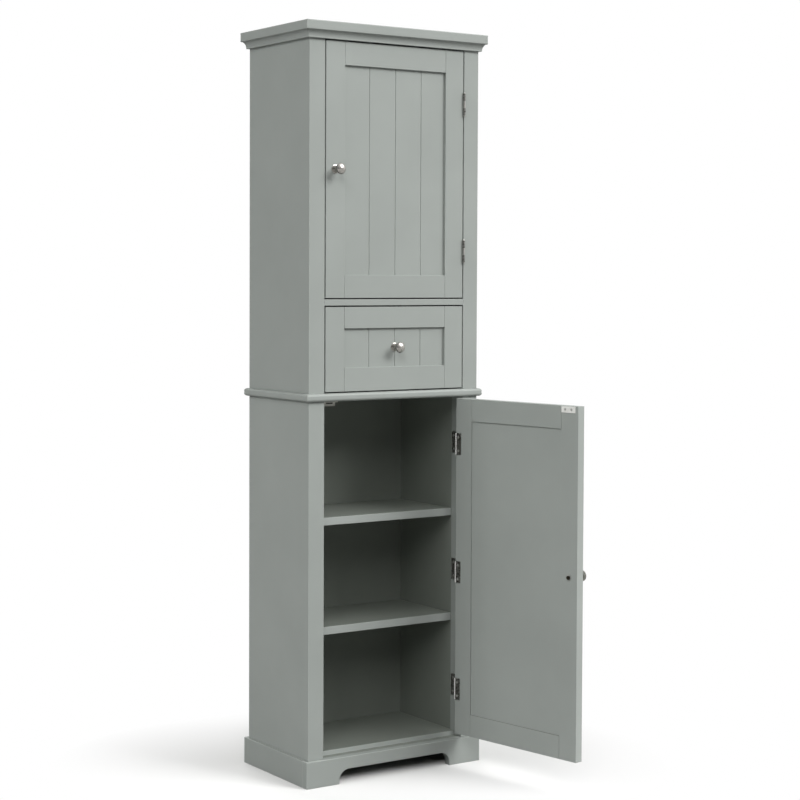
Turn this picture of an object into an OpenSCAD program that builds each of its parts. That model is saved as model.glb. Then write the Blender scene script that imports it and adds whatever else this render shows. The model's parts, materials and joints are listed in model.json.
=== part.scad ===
// Tall bathroom cabinet: one framed door above, one drawer, one framed door below.
// The lower door stands open. Front faces -Y, X runs to the right, Z is up.
// The origin is on the floor, under the middle of the back edge of the carcass.

/* [Overall] */
// overall height from the floor to the top of the crown board
total_h = 1700; // [1400:5:2000]
// width over the outer faces of the side walls
body_w = 458; // [380:1:640]
// depth from the front of the stiles to the back edge of the side walls
body_d = 268; // [230:1:420]

/* [Walls and boards] */
// thickness of a side wall, which is also the width of a front stile
stile_w = 40; // [34:1:60]
// how far back the full stile width reaches before the wall steps in
stile_d = 43; // [36:1:60]
// how much the inner face of a wall steps back behind the stile
wall_step = 2; // [0.5:0.5:6]
// thickness of the back panels
back_t = 9; // [5:0.5:14]
// width of the bearing strip of a wall that a back panel is housed in
back_seat = 20; // [10:1:26]
// thickness of the board between the drawer and the upper door
divider_t = 14; // [10:1:22]
// thickness of the board under the crown board
top_t = 16; // [12:1:24]
// thickness of the shelves
shelf_t = 18; // [12:1:24]
// distance from the front plane back to the shelf edges
shelf_set = 46; // [45:1:90]

/* [Crown] */
// thickness of the crown board
crown_t = 21.5; // [16:0.5:30]
// overhang of the crown board on every side
crown_over = 16; // [13:1:30]
// radius on the long edges of the crown board
crown_r = 2.5; // [1:0.5:6]
// how far the cove moulding stands out at its top
cove_top = 12; // [9:0.5:13]
// how far the cove moulding stands out at its bottom
cove_low = 6; // [4:0.5:8]
// height of the plain fillet at the foot of the cove
cove_fillet = 2; // [1:0.5:4]

/* [Waist] */
// height of the top face of the waist board above the floor
waist_z = 878.5; // [700:0.5:1000]
// thickness of the waist board with its rounded nosing
waist_t = 18; // [14:1:26]
// overhang of the waist board on every side
waist_over = 9; // [7:1:16]
// radius on the long edges of the waist board
waist_r = 6.5; // [1:0.5:6.5]

/* [Plinth] */
// height of the plinth boards
plinth_h = 60; // [50:1:100]
// thickness of the plinth boards
plinth_t = 18; // [14:1:24]
// overhang of the plinth on every side
plinth_over = 8; // [3:1:12]
// clear height of the arch in the front plinth board
arch_h = 32; // [30:1:40]
// radius of the two upper corners of the arch
arch_r = 25; // [10:1:28]
// width of the foot left at each end of the front plinth board
foot_w = 86; // [50:1:140]
// height of the floor board above the plinth
floor_rise = 10; // [6:1:20]
// thickness of the floor board where it lies inside the plinth
floor_sink = 18; // [12:1:24]
// distance from the front plane back to the raised part of the floor
floor_set = 28; // [24:1:40]

/* [Upper door] */
// gap round the doors and the drawer front
gap = 3; // [2.8:0.1:4]
// thickness of the doors and the drawer front
door_t = 20; // [18:1:26]
// width of the door and drawer stiles
frame_w = 49; // [40:1:60]
// height of the upper and lower rails of the doors
rail_h = 51.5; // [40:0.5:70]
// depth of the panel face behind the front of its frame
panel_set = 6; // [4:0.5:8]
// thickness of the boarded panels
panel_t = 11; // [8:0.5:12]
// how far a panel reaches into the grooves of its frame
tongue = 8; // [5:1:12]
// clearance between a panel edge and the bottom of its groove
tongue_gap = 0.5; // [0.2:0.1:1.5]
// distance between the grooves that mark the boards
board_pitch = 70; // [40:1:80]
// how far the middle groove lies to the right of the middle of the frame
board_shift = 1.5; // [-8:0.5:8]
// width of the grooves that mark the boards
vee_w = 3.5; // [1.5:0.5:6]

/* [Lower door] */
// opening angle at which the lower door stands
lower_open = 100; // [0:1:160]
// clearance between the lower door and the plinth
lower_gap = 14; // [3:1:16]

/* [Drawer] */
// height of the drawer opening
drawer_h = 195; // [140:1:240]
// height of the upper rail of the drawer front
drawer_rail_top = 48; // [35:1:60]
// height of the lower rail of the drawer front
drawer_rail_low = 53; // [35:1:60]
// thickness of the drawer sides and back
box_t = 12; // [10:1:16]
// clearance above the drawer sides
box_head_gap = 45; // [5:1:60]
// clearance between the drawer box and the back panel
box_back_gap = 19; // [5:1:60]
// height of the drawer sides above the waist board
box_lift = 10; // [7:1:20]
// thickness of the drawer bottom
bottom_t = 6; // [4:0.5:8]
// height of the drawer bottom above the lower edge of the sides
bottom_lift = 8; // [5:1:15]
// depth of the grooves that hold the drawer bottom
bottom_groove = 5; // [3:0.5:7]
// clearance on each side of the drawer bottom in its grooves
bottom_gap = 0.2; // [0.1:0.1:0.6]
// clearance between the drawer sides and the stiles
box_side_gap = 4; // [2:0.5:8]
// height of the runner strips
runner_h = 16; // [12:1:20]
// how far the runner strips reach into the drawer sides
runner_in = 7; // [5:0.5:8]
// clearance of the runner in its groove
runner_gap = 0.25; // [0.15:0.05:0.4]
// height of the runner above the lower edge of the drawer sides
runner_lift = 62; // [40:1:90]
// clearance between a runner and the back of its stile
runner_front_gap = 1; // [0.5:0.5:10]
// clearance between a runner and the back panel
runner_back_gap = 3; // [1:1:20]
// how far the groove of a drawer side runs on ahead of its runner
groove_lead = 10; // [2:1:16]
// distance from the front end of a runner to its first screw
runner_screw_front = 30; // [15:1:60]
// distance from the back end of a runner to its second screw
runner_screw_back = 40; // [15:1:60]
// thickness of a runner left under its screw heads
runner_grip = 8; // [4:1:9]

/* [Lower shelves] */
// height of the top face of the higher shelf above the floor
shelf_hi_z = 595; // [450:1:650]
// height of the top face of the lower shelf above the floor
shelf_lo_z = 347; // [200:1:400]

/* [Upper shelf] */
// height of the underside of the loose shelf above the divider
loose_rise = 222; // [120:1:240]
// clearance at each end of the loose shelf
loose_gap = 1; // [0.3:0.1:2]
// radius of the shelf pins
peg_r = 2.5; // [2:0.25:4]
// how far a shelf pin stands out of the wall
peg_out = 9; // [6:1:14]
// how deep a shelf pin sits in the wall
peg_in = 10; // [6:1:14]
// distance from the shelf edges to the shelf pins
peg_set = 35; // [20:1:60]

/* [Hinges] */
// length of a hinge leaf
leaf_h = 50; // [40:1:70]
// thickness of the hinge leaves
leaf_t = 1.2; // [0.8:0.1:1.3]
// how far a frame leaf reaches back along the stile
leaf_d = 40; // [30:1:42]
// width of a door leaf on the back of the door
wrap_w = 16; // [12:1:24]
// distance from the back edge of a frame leaf to its screws
leaf_screw_in = 8; // [5:1:12]
// radius of the hinge knuckles
knuckle_r = 3; // [2.6:0.1:4]
// how far the knuckles stand clear in front of the edges of the gap
knuckle_lift = 0.2; // [0.1:0.1:1]
// clearance of a leaf round the knuckle of the other leaf
leaf_clear = 0.15; // [0.05:0.05:0.4]
// radius of the hinge pins
pin_r = 1.5; // [1:0.1:1.8]
// running clearance of the door knuckle round its pin
pin_gap = 0.06; // [0.03:0.01:0.1]
// clearance between neighbouring knuckles
knuckle_gap = 0.3; // [0.2:0.05:0.6]
// length of the finial on each end of a hinge pin
finial_h = 4; // [2:0.5:6]
// thickness of the collar under a finial
collar_t = 0.8; // [0.4:0.1:1.6]
// radius of the tip of a finial
tip_r = 0.8; // [0.4:0.1:1.5]
// distance from the top of the upper door to its higher hinge
upper_hinge_top = 122; // [60:1:180]
// distance from the bottom of the upper door to its lower hinge
upper_hinge_low = 107; // [60:1:180]
// distance from the top of the lower door to its highest hinge
lower_hinge_top = 106; // [60:1:180]
// distance from the bottom of the lower door to its middle hinge
lower_hinge_mid = 379; // [250:1:500]
// distance from the bottom of the lower door to its lowest hinge
lower_hinge_low = 105; // [60:1:180]
// distance between the two screws of a hinge leaf
leaf_screws = 32; // [20:1:36]

/* [Screws] */
// radius of a countersunk screw head
head_r = 3; // [2.6:0.1:3.6]
// depth of the countersunk part of a screw head
head_h = 1.8; // [1.4:0.1:2.4]
// radius of the screw shanks
shank_r = 1.5; // [1:0.1:2]
// length of the screws
screw_l = 14; // [10:1:16]
// clearance round a screw head in its counterbore
head_gap = 0.2; // [0.1:0.1:0.6]

/* [Catches] */
// length of a catch housing over its ears
catch_l = 45; // [36:1:60]
// length of the middle of a catch housing
catch_mid = 30; // [22:1:34]
// depth of a catch housing from front to back
catch_d = 14; // [10:1:20]
// height of a catch housing
catch_h = 12; // [9:1:16]
// thickness of the ears of a catch housing
ear_t = 4; // [3:0.5:6]
// distance from the stile to the catch housing
catch_x = 4; // [1:1:40]
// clearance between a catch and its strike plate
catch_gap = 0.4; // [0.2:0.1:1]
// distance from the free edge of a door to the middle of its strike plate
strike_x = 28; // [21:1:28]
// length of a strike plate
strike_l = 40; // [30:1:40]
// height of a strike plate
strike_h = 14; // [10:1:16]
// thickness of a strike plate
strike_t = 1.2; // [0.8:0.1:2]
// how far the middle of a strike plate lies below the middle of its catch
strike_drop = 5; // [0:0.5:5]
// distance between the two screws of a strike plate
strike_screws = 18; // [12:1:24]

/* [Knobs] */
// length of a knob from its base to the crown of its head
knob_l = 30; // [24:1:36]
// radius of a knob head
knob_r = 12.5; // [9:0.5:16]
// radius of the sphere that crowns a knob head
knob_dome = 17; // [14:1:30]
// radius of the knob neck
neck_r = 4.5; // [3.5:0.5:6]
// radius of the flared base of a knob
base_r = 10; // [7:0.5:11]
// thickness of the rim at the foot of a knob
base_t = 1.6; // [0.8:0.2:3]
// width of the step between that rim and the flare above it
base_step = 1.2; // [0.4:0.2:2]
// height above the base at which the flare meets the neck
flare_h = 6; // [4:0.5:8]
// height of the cone under a knob head
cone_h = 4.4; // [3:0.2:7]
// height of the rim of a knob head
rim_t = 1.6; // [0.6:0.2:3]
// distance from the free edge of a door to its knob
knob_x = 24; // [20:1:29]
// height of the upper knob above the lower edge of its door
upper_knob_z = 286; // [100:1:450]
// height of the lower knob above the lower edge of its door
lower_knob_z = 406; // [100:1:600]
// radius of the knob screws
bolt_r = 2; // [1.5:0.1:2.5]
// clearance of a knob screw in the wood
bolt_gap = 0.2; // [0.1:0.1:0.5]
// how deep a knob screw reaches into its knob
bolt_in = 10; // [7:1:14]
// depth of the hole in a knob beyond the tip of its screw
bolt_tip = 1.5; // [0.5:0.5:3]
// radius of a knob screw head
bolt_head_r = 4.5; // [3.5:0.5:6]
// height of a knob screw head
bolt_head_h = 2.4; // [1.5:0.1:3.5]
// radius of the washer under a knob screw head
washer_r = 6.5; // [5:0.5:9]
// thickness of that washer
washer_t = 1; // [0.6:0.1:1.6]

/* [Hidden] */
$fn = 64;
e = 1; // how far a cut runs past the face that it opens
xl = -body_w/2;
xr = body_w/2;
yf = -body_d; // front plane of the stiles
yb = 0;
ym = (yf + yb)/2;
back_y = yb - back_t; // front face of the back panels
in_l = xl + stile_w; // inner edges of the stiles
in_r = xr - stile_w;
open_w = in_r - in_l; // width of the door and drawer openings
crown_z = total_h - crown_t; // underside of the crown board
top_z = crown_z - top_t; // underside of the top board
drawer_top = waist_z + drawer_h; // top of the drawer opening
upper_z = drawer_top + divider_t; // floor of the upper compartment
lower_top = waist_z - waist_t; // top of the lower opening
floor_z = plinth_h + floor_rise; // top of the floor board
door_w = open_w - 2*gap;
upper_h = top_z - upper_z - 2*gap;
lower_z = plinth_h + lower_gap; // lower edge of the lower door
lower_h = lower_top - gap - lower_z;
front_h = drawer_h - 2*gap;
back_set = door_t - panel_set - panel_t; // depth of the panel from the back
pin_y = -sqrt(knuckle_r*knuckle_r - pow(gap/2, 2)) - knuckle_lift; // pin centre off the front plane
upper_hinges = [upper_hinge_low, upper_h - upper_hinge_top];
lower_hinges = [lower_hinge_low, lower_hinge_mid, lower_h - lower_hinge_top];
hinge_x = in_r - gap/2; // pin centre across the gap
box_w = open_w - 2*box_side_gap;
box_z = waist_z + box_lift;
box_h = drawer_h - box_lift - box_head_gap;
box_d = body_d - back_t - door_t - box_back_gap;
loose_z = upper_z + loose_rise + shelf_t; // top face of the loose shelf
slot_d = runner_in + 2*runner_gap; // depth of the runner groove
runner_x = xr - stile_w + wall_step; // wall face that carries a runner
runner_t = runner_x - box_w/2 + runner_in; // thickness of a runner strip
runner_z = box_z + runner_lift;
runner_y = yf + stile_d + runner_front_gap;
runner_l = back_y - runner_y - runner_back_gap;
sink = runner_t - runner_grip; // counterbore depth of the runner screws
runner_pts = [runner_y + runner_screw_front, runner_y + runner_l - runner_screw_back];
leaf_screw_y = leaf_d - leaf_screw_in; // frame screws behind the front plane
wrap_screw_x = wrap_w/2; // door leaf screws from the edge of the door
rib = catch_mid/2 + (catch_l - catch_mid)/4; // catch screws from the middle
catch_cx = in_l + catch_x + catch_l/2; // middle of a catch housing
catch_cy = yf + door_t + strike_t + catch_gap + catch_d/2;
strike_z = catch_h/2 + strike_drop; // middle of a strike below the board over its door
part_h = leaf_h/3; // length of one knuckle
front_y = -pin_y; // front plane behind the pin centre
clear_r = knuckle_r + leaf_clear; // radius that the other leaf keeps clear of
p_in = plinth_t - plinth_over; // how far the plinth boards reach in under the walls
knob_mid = (front_h - drawer_rail_top + drawer_rail_low)/2; // middle of the drawer panel
knob_edge = knob_l - knob_dome + sqrt(knob_dome*knob_dome - knob_r*knob_r);

// a box given by its two corners
module span(a, b) { translate(a) cube([b[0] - a[0], b[1] - a[1], b[2] - a[2]]); }

// a countersunk screw whose head lies in the plane z = 0 and whose shank runs down
module screw() {
  translate([0, 0, -head_h]) cylinder(h = head_h, r1 = shank_r, r2 = head_r);
  translate([0, 0, -screw_l]) cylinder(h = screw_l, r = shank_r);
}

// the same screw as a cut, open above its head
module screw_cut() {
  screw();
  cylinder(h = e, r = head_r);
}

// a bar along X with its four long edges rounded
module bar_x(w, d, t, r) {
  translate([-w/2, -d/2 + r, 0]) cube([w, d - 2*r, t]);
  if (t > 2*r) translate([-w/2, -d/2, r]) cube([w, d, t - 2*r]);
  for (y = [-d/2 + r, d/2 - r]) for (z = [r, t - r])
    translate([-w/2, y, z]) rotate([0, 90, 0]) cylinder(h = w, r = r);
}

// a board with a rounded edge on every side and mitred corners
module nosed_board(w, d, t, r) {
  intersection() {
    bar_x(w, d, t, r);
    rotate([0, 0, 90]) bar_x(d, w, t, r);
  }
}

// crown
module crown_board() {
  color("#9ba19c") translate([0, ym, crown_z])
    nosed_board(body_w + 2*crown_over, body_d + 2*crown_over, crown_t, crown_r);
}

// section of the cove: x runs outwards from the wall, y upwards
module cove_section() {
  rise = top_t - cove_fillet;
  out = cove_top - cove_low;
  r = (out*out + rise*rise)/(2*out);
  difference() {
    square([cove_top, top_t]);
    translate([cove_low, -e]) square([cove_top, cove_fillet + e]);
    translate([cove_low + r, cove_fillet]) circle(r = r);
  }
}

// a straight length of cove, run l long on a wall of length l, mitred at both ends
module cove_run(l) {
  far = l + 4*cove_top;
  difference() {
    rotate([90, 0, -90]) translate([0, 0, -far/2]) linear_extrude(height = far) cove_section();
    for (s = [-1, 1]) translate([s*l/2, 0, -e]) rotate([0, 0, s > 0 ? 45 : 135])
      translate([0, -2*far, 0]) cube([far, 4*far, top_t + 2*e]);
  }
}

module crown_cove_front() {
  color("#9ba19c") translate([0, yf, top_z]) cove_run(body_w);
}
module crown_cove_back() {
  color("#9ba19c") translate([0, yb, top_z]) rotate([0, 0, 180]) cove_run(body_w);
}
module crown_cove_left() {
  color("#9ba19c") translate([xl, ym, top_z]) rotate([0, 0, -90]) cove_run(body_d);
}
module crown_cove_right() {
  color("#9ba19c") translate([xr, ym, top_z]) rotate([0, 0, 90]) cove_run(body_d);
}

// a board between the side walls, notched round the stiles, from z up by t
module case_board(z, t, y0) {
  if (y0 < yf + stile_d)
    span([in_l, y0, z], [in_r, yf + stile_d, z + t]);
  span([in_l - wall_step, max(y0, yf + stile_d), z], [in_r + wall_step, back_y, z + t]);
}

module top_board() {
  color("#8f958f") difference() {
    case_board(top_z, top_t, yf);
    catch_screws(top_z);
  }
}
module drawer_divider() { color("#8f958f") case_board(drawer_top, divider_t, yf); }

// left side wall from z0 to z1: full width at the stile, rebated for the back panel
module wall(z0, z1) {
  difference() {
    span([xl, yf, z0], [in_l, yb, z1]);
    span([in_l - wall_step, yf + stile_d, z0 - e], [in_l + e, yb + e, z1 + e]);
    span([xl + back_seat, back_y, z0 - e], [in_l + e, yb + e, z1 + e]);
  }
}

module runner_screws() {
  for (y = runner_pts) translate([-runner_x + runner_t - sink, y, runner_z + runner_h/2])
    rotate([0, 90, 0]) screw();
}

// shelf pins of one side
module pegs() {
  for (y = [yf + shelf_set + peg_set, back_y - peg_set])
    translate([-runner_x - peg_in, y, loose_z - shelf_t - peg_r])
      rotate([0, 90, 0]) cylinder(h = peg_in + peg_out, r = peg_r);
}

module frame_screws(z0, hinges) {
  for (h = hinges) for (s = [-1, 1])
    translate([in_r - leaf_t, yf + leaf_screw_y, z0 + h + s*leaf_screws/2])
      rotate([0, -90, 0]) screw();
}

module upper_side_left() {
  color("#959b95") difference() {
    wall(waist_z, crown_z);
    runner_screws();
    pegs();
  }
}
module upper_side_right() {
  color("#959b95") difference() {
    mirror([1, 0, 0]) wall(waist_z, crown_z);
    mirror([1, 0, 0]) runner_screws();
    mirror([1, 0, 0]) pegs();
    frame_screws(upper_z + gap, upper_hinges);
  }
}
module lower_side_left() { color("#959b95") wall(plinth_h, lower_top); }
module lower_side_right() {
  color("#959b95") difference() {
    mirror([1, 0, 0]) wall(plinth_h, lower_top);
    frame_screws(lower_z, lower_hinges);
  }
}

module upper_back() {
  color("#868c86") span([xl + back_seat, back_y, waist_z], [xr - back_seat, yb, crown_z]);
}
module lower_back() {
  color("#868c86") span([xl + back_seat, back_y, plinth_h], [xr - back_seat, yb, lower_top]);
}

module upper_shelf() {
  color("#8f958f") span([in_l - wall_step + loose_gap, yf + shelf_set, loose_z - shelf_t],
    [in_r + wall_step - loose_gap, back_y - loose_gap, loose_z]);
}
module shelf_pins() {
  color("#c9ccce") {
    pegs();
    mirror([1, 0, 0]) pegs();
  }
}

// left runner strip with counterbored screw holes
module runner() {
  difference() {
    span([-runner_x, runner_y, runner_z],
      [-runner_x + runner_t, runner_y + runner_l, runner_z + runner_h]);
    runner_screws();
    for (y = runner_pts) translate([-runner_x + runner_t - sink, y, runner_z + runner_h/2])
      rotate([0, 90, 0]) cylinder(h = sink + e, r = head_r + head_gap);
  }
}
module drawer_runner_left() { color("#c8a878") runner(); }
module drawer_runner_right() { color("#c8a878") mirror([1, 0, 0]) runner(); }

module catch_screws(top) {
  for (s = [-1, 1]) translate([catch_cx + s*rib, catch_cy, top - ear_t])
    rotate([180, 0, 0]) screw();
}

module waist_board() {
  color("#a0a6a1") difference() {
    translate([0, ym, lower_top])
      nosed_board(body_w + 2*waist_over, body_d + 2*waist_over, waist_t, waist_r);
    catch_screws(lower_top);
  }
}

module lower_shelf_high() {
  color("#8f958f") case_board(shelf_hi_z - shelf_t, shelf_t, yf + shelf_set);
}
module lower_shelf_low() {
  color("#8f958f") case_board(shelf_lo_z - shelf_t, shelf_t, yf + shelf_set);
}

// plinth
module floor_board() {
  color("#8f958f") {
    case_board(plinth_h, floor_rise, yf + floor_set);
    span([xl + p_in, yf + p_in, plinth_h - floor_sink], [xr - p_in, yb - p_in, plinth_h]);
  }
}

module plinth_front() {
  w = body_w + 2*plinth_over - 2*foot_w; // clear width of the arch
  color("#9ba19c") difference() {
    span([xl - plinth_over, yf - plinth_over, 0], [xr + plinth_over, yf + p_in, plinth_h]);
    span([-w/2, yf - plinth_over - e, -e], [w/2, yf + p_in + e, arch_h - arch_r]);
    span([-w/2 + arch_r, yf - plinth_over - e, -e], [w/2 - arch_r, yf + p_in + e, arch_h]);
    for (s = [-1, 1]) translate([s*(w/2 - arch_r), yf + p_in + e, arch_h - arch_r])
      rotate([90, 0, 0]) cylinder(h = plinth_t + 2*e, r = arch_r);
  }
}
module plinth_side() {
  span([xl - plinth_over, yf + p_in, 0], [xl + p_in, yb - p_in, plinth_h]);
}
module plinth_left() { color("#9ba19c") plinth_side(); }
module plinth_right() { color("#9ba19c") mirror([1, 0, 0]) plinth_side(); }
module plinth_back() {
  color("#9ba19c")
    span([xl - plinth_over, yb - p_in, 0], [xr + plinth_over, yb + plinth_over, plinth_h]);
}

// hinges, drawn about the pin centre: x runs to the stile, y to the back
module frame_leaf() {
  difference() {
    union() {
      span([gap/2 - leaf_t, 0, -leaf_h/2], [gap/2, front_y + leaf_d, leaf_h/2]);
      translate([0, 0, -leaf_h/2]) cylinder(h = leaf_h, r = knuckle_r);
    }
    translate([0, 0, -part_h/2 - knuckle_gap/2])
      cylinder(h = part_h + knuckle_gap, r = clear_r);
    translate([0, 0, -leaf_h]) cylinder(h = 2*leaf_h, r = pin_r);
    for (s = [-1, 1])
      translate([gap/2 - leaf_t, front_y + leaf_screw_y, s*leaf_screws/2])
        rotate([0, -90, 0]) screw_cut();
  }
}

module door_leaf() {
  difference() {
    union() {
      difference() {
        span([-gap/2, 0, -leaf_h/2], [-gap/2 + leaf_t, front_y + door_t, leaf_h/2]);
        for (s = [-1, 1]) translate([0, 0, s*part_h - part_h/2])
          cylinder(h = part_h + knuckle_gap/2, r = clear_r);
        for (z = [-leaf_h/2 - e, part_h/2 - knuckle_gap/2]) translate([0, 0, z])
          cylinder(h = part_h + knuckle_gap/2 + e, r = clear_r);
      }
      span([-gap/2 - wrap_w, front_y + door_t, -leaf_h/2],
        [-gap/2, front_y + door_t + leaf_t, leaf_h/2]);
      translate([-gap/2, front_y + door_t, -leaf_h/2]) intersection() {
        cylinder(h = leaf_h, r = leaf_t);
        cube([leaf_t, leaf_t, leaf_h]);
      }
      translate([0, 0, -part_h/2 + knuckle_gap/2])
        cylinder(h = part_h - knuckle_gap, r = knuckle_r);
    }
    translate([0, 0, -leaf_h]) cylinder(h = 2*leaf_h, r = pin_r + pin_gap);
    for (s = [-1, 1])
      translate([-gap/2 - wrap_screw_x, front_y + door_t + leaf_t, s*leaf_screws/2])
        rotate([-90, 0, 0]) screw_cut();
  }
}

module hinge_pin() {
  translate([0, 0, -leaf_h/2]) cylinder(h = leaf_h, r = pin_r);
  for (s = [0, 1]) mirror([0, 0, s]) translate([0, 0, leaf_h/2]) {
    cylinder(h = collar_t, r = knuckle_r);
    translate([0, 0, collar_t])
      cylinder(h = finial_h - collar_t, r1 = knuckle_r - collar_t/2, r2 = tip_r);
  }
}

// every hinge place, upper ones first
module at_hinges() {
  for (h = upper_hinges) translate([hinge_x, yf + pin_y, upper_z + gap + h]) children();
  for (h = lower_hinges) translate([hinge_x, yf + pin_y, lower_z + h]) children();
}

module hinge_frame_leaves() { color("#b4b6b4") at_hinges() frame_leaf(); }
module hinge_pins() { color("#d0d2d4") at_hinges() hinge_pin(); }

module case_screws() {
  color("#8b8d8c") {
    frame_screws(upper_z + gap, upper_hinges);
    frame_screws(lower_z, lower_hinges);
    runner_screws();
    mirror([1, 0, 0]) runner_screws();
    catch_screws(top_z);
    catch_screws(lower_top);
  }
}

// a catch hung under a board whose underside is at z
module catch_at(z) {
  difference() {
    union() {
      span([catch_cx - catch_mid/2, catch_cy - catch_d/2, z - catch_h],
        [catch_cx + catch_mid/2, catch_cy + catch_d/2, z]);
      span([catch_cx - catch_l/2, catch_cy - catch_d/2, z - ear_t],
        [catch_cx + catch_l/2, catch_cy + catch_d/2, z]);
    }
    catch_screws(z);
  }
}
module magnetic_catches() {
  color("#e8e8e4") {
    catch_at(top_z);
    catch_at(lower_top);
  }
}

// doors are drawn shut, with the lower left front corner of the door at the origin
module groove_x(z, w) {
  span([-tongue - tongue_gap, panel_set, z - tongue - tongue_gap],
    [w + tongue + tongue_gap, panel_set + panel_t, z]);
}

// an upright member of a frame of height h, with a groove on its right edge
module frame_stile(h, top, low) {
  difference() {
    cube([frame_w, door_t, h]);
    span([frame_w - tongue - tongue_gap, panel_set, low - tongue - tongue_gap],
      [frame_w + e, panel_set + panel_t, h - top + tongue + tongue_gap]);
  }
}

// a level member of height t from z0 up, with its groove in the upper or lower edge
module frame_rail(w, z0, t, groove_up) {
  g = tongue + tongue_gap;
  difference() {
    span([frame_w, 0, z0], [w - frame_w, door_t, z0 + t]);
    translate([frame_w - e, panel_set, groove_up ? z0 + t - g : z0 - e])
      cube([w - 2*frame_w + 2*e, panel_t, g + e]);
  }
}

// a boarded panel that fills the frame of width w and height h
module frame_panel(w, h, top, low) {
  n = floor((w/2 - frame_w - abs(board_shift) - vee_w)/board_pitch);
  difference() {
    span([frame_w - tongue, panel_set, low - tongue],
      [w - frame_w + tongue, panel_set + panel_t, h - top + tongue]);
    for (i = [-n:n]) translate([w/2 + board_shift + i*board_pitch, panel_set, low - tongue - e])
      linear_extrude(height = h - top - low + 2*tongue + 2*e)
        polygon([[-vee_w/2 - e, -e], [vee_w/2 + e, -e], [0, vee_w/2]]);
  }
}

// screws of the door leaves and of the strike, for a door of height h
module door_screws(h, hinges) {
  for (z = hinges) for (s = [-1, 1])
    translate([door_w - wrap_screw_x, door_t + leaf_t, z + s*leaf_screws/2])
      rotate([-90, 0, 0]) screw();
  for (s = [-1, 1])
    translate([strike_x + s*strike_screws/2, door_t + strike_t, h + gap - strike_z])
      rotate([-90, 0, 0]) screw();
}

module door_strike(h, hinges) {
  difference() {
    span([strike_x - strike_l/2, door_t, h + gap - strike_z - strike_h/2],
      [strike_x + strike_l/2, door_t + strike_t, h + gap - strike_z + strike_h/2]);
    door_screws(h, hinges);
  }
}

module door_hinge_stile(h, hinges) {
  difference() {
    translate([door_w, 0, 0]) mirror([1, 0, 0]) frame_stile(h, rail_h, rail_h);
    door_screws(h, hinges);
  }
}

module door_latch_stile(h, hinges, knob_z) {
  difference() {
    frame_stile(h, rail_h, rail_h);
    translate([knob_x, -e, knob_z]) rotate([-90, 0, 0])
      cylinder(h = door_t + 2*e, r = bolt_r + bolt_gap);
    door_screws(h, hinges);
  }
}

module door_top_rail(h, hinges) {
  difference() {
    frame_rail(door_w, h - rail_h, rail_h, false);
    door_screws(h, hinges);
  }
}

module door_leaves(hinges) {
  for (z = hinges) translate([door_w + gap/2, pin_y, z]) door_leaf();
}

// a turned knob whose axis is z, with its base at z = 0 and a blind bolt hole
module knob() {
  difference() {
    rotate_extrude() difference() {
      union() {
        square([base_r, base_t]);
        polygon([[0, base_t], [base_r - base_step, base_t], [neck_r, flare_h],
          [neck_r, knob_edge - rim_t - cone_h], [knob_r, knob_edge - rim_t],
          [knob_r, knob_edge], [0, knob_edge]]);
        intersection() {
          translate([0, knob_l - knob_dome]) circle(r = knob_dome);
          translate([0, knob_edge - e]) square([knob_r, knob_l]);
        }
      }
      translate([-knob_l, 0]) square([knob_l, 2*knob_l]);
    }
    translate([0, 0, -e]) cylinder(h = bolt_in + bolt_tip + e, r = bolt_r);
  }
}

// the screw of a knob that grips wood of thickness t, head at z below 0
module knob_bolt(t) {
  translate([0, 0, -t - washer_t]) cylinder(h = t + washer_t + bolt_in, r = bolt_r);
  translate([0, 0, -t - washer_t]) cylinder(h = washer_t, r = washer_r);
  translate([0, 0, -t - washer_t - bolt_head_h]) cylinder(h = bolt_head_h, r = bolt_head_r);
}

// upper door
module place_upper() { translate([in_l + gap, yf, upper_z + gap]) children(); }
module upper_door_hinge_stile() {
  color("#a3a9a4") place_upper() door_hinge_stile(upper_h, upper_hinges);
}
module upper_door_latch_stile() {
  color("#a3a9a4") place_upper() door_latch_stile(upper_h, upper_hinges, upper_knob_z);
}
module upper_door_top_rail() {
  color("#a7ada8") place_upper() door_top_rail(upper_h, upper_hinges);
}
module upper_door_bottom_rail() {
  color("#a7ada8") place_upper() frame_rail(door_w, 0, rail_h, true);
}
module upper_door_panel() {
  color("#9fa5a0") place_upper() frame_panel(door_w, upper_h, rail_h, rail_h);
}
module upper_door_hinge_leaves() {
  color("#c0c2c0") place_upper() door_leaves(upper_hinges);
}
module upper_door_screws() { color("#8b8d8c") place_upper() door_screws(upper_h, upper_hinges); }
module upper_door_strike() { color("#c9ccce") place_upper() door_strike(upper_h, upper_hinges); }
module upper_door_knob() {
  color("#d8dadc") place_upper() translate([knob_x, 0, upper_knob_z]) rotate([90, 0, 0]) knob();
}
module upper_door_knob_screw() {
  color("#8b8d8c") place_upper() translate([knob_x, 0, upper_knob_z]) rotate([90, 0, 0])
    knob_bolt(door_t);
}

// lower door, turned about its hinge pins
module place_lower() {
  translate([hinge_x, yf + pin_y, lower_z]) rotate([0, 0, lower_open])
    translate([-gap/2 - door_w, -pin_y, 0]) children();
}
module lower_door_hinge_stile() {
  color("#a3a9a4") place_lower() door_hinge_stile(lower_h, lower_hinges);
}
module lower_door_latch_stile() {
  color("#a3a9a4") place_lower() door_latch_stile(lower_h, lower_hinges, lower_knob_z);
}
module lower_door_top_rail() {
  color("#a7ada8") place_lower() door_top_rail(lower_h, lower_hinges);
}
module lower_door_bottom_rail() {
  color("#a7ada8") place_lower() frame_rail(door_w, 0, rail_h, true);
}
module lower_door_panel() {
  color("#9fa5a0") place_lower() frame_panel(door_w, lower_h, rail_h, rail_h);
}
module lower_door_hinge_leaves() {
  color("#c0c2c0") place_lower() door_leaves(lower_hinges);
}
module lower_door_screws() { color("#8b8d8c") place_lower() door_screws(lower_h, lower_hinges); }
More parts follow.
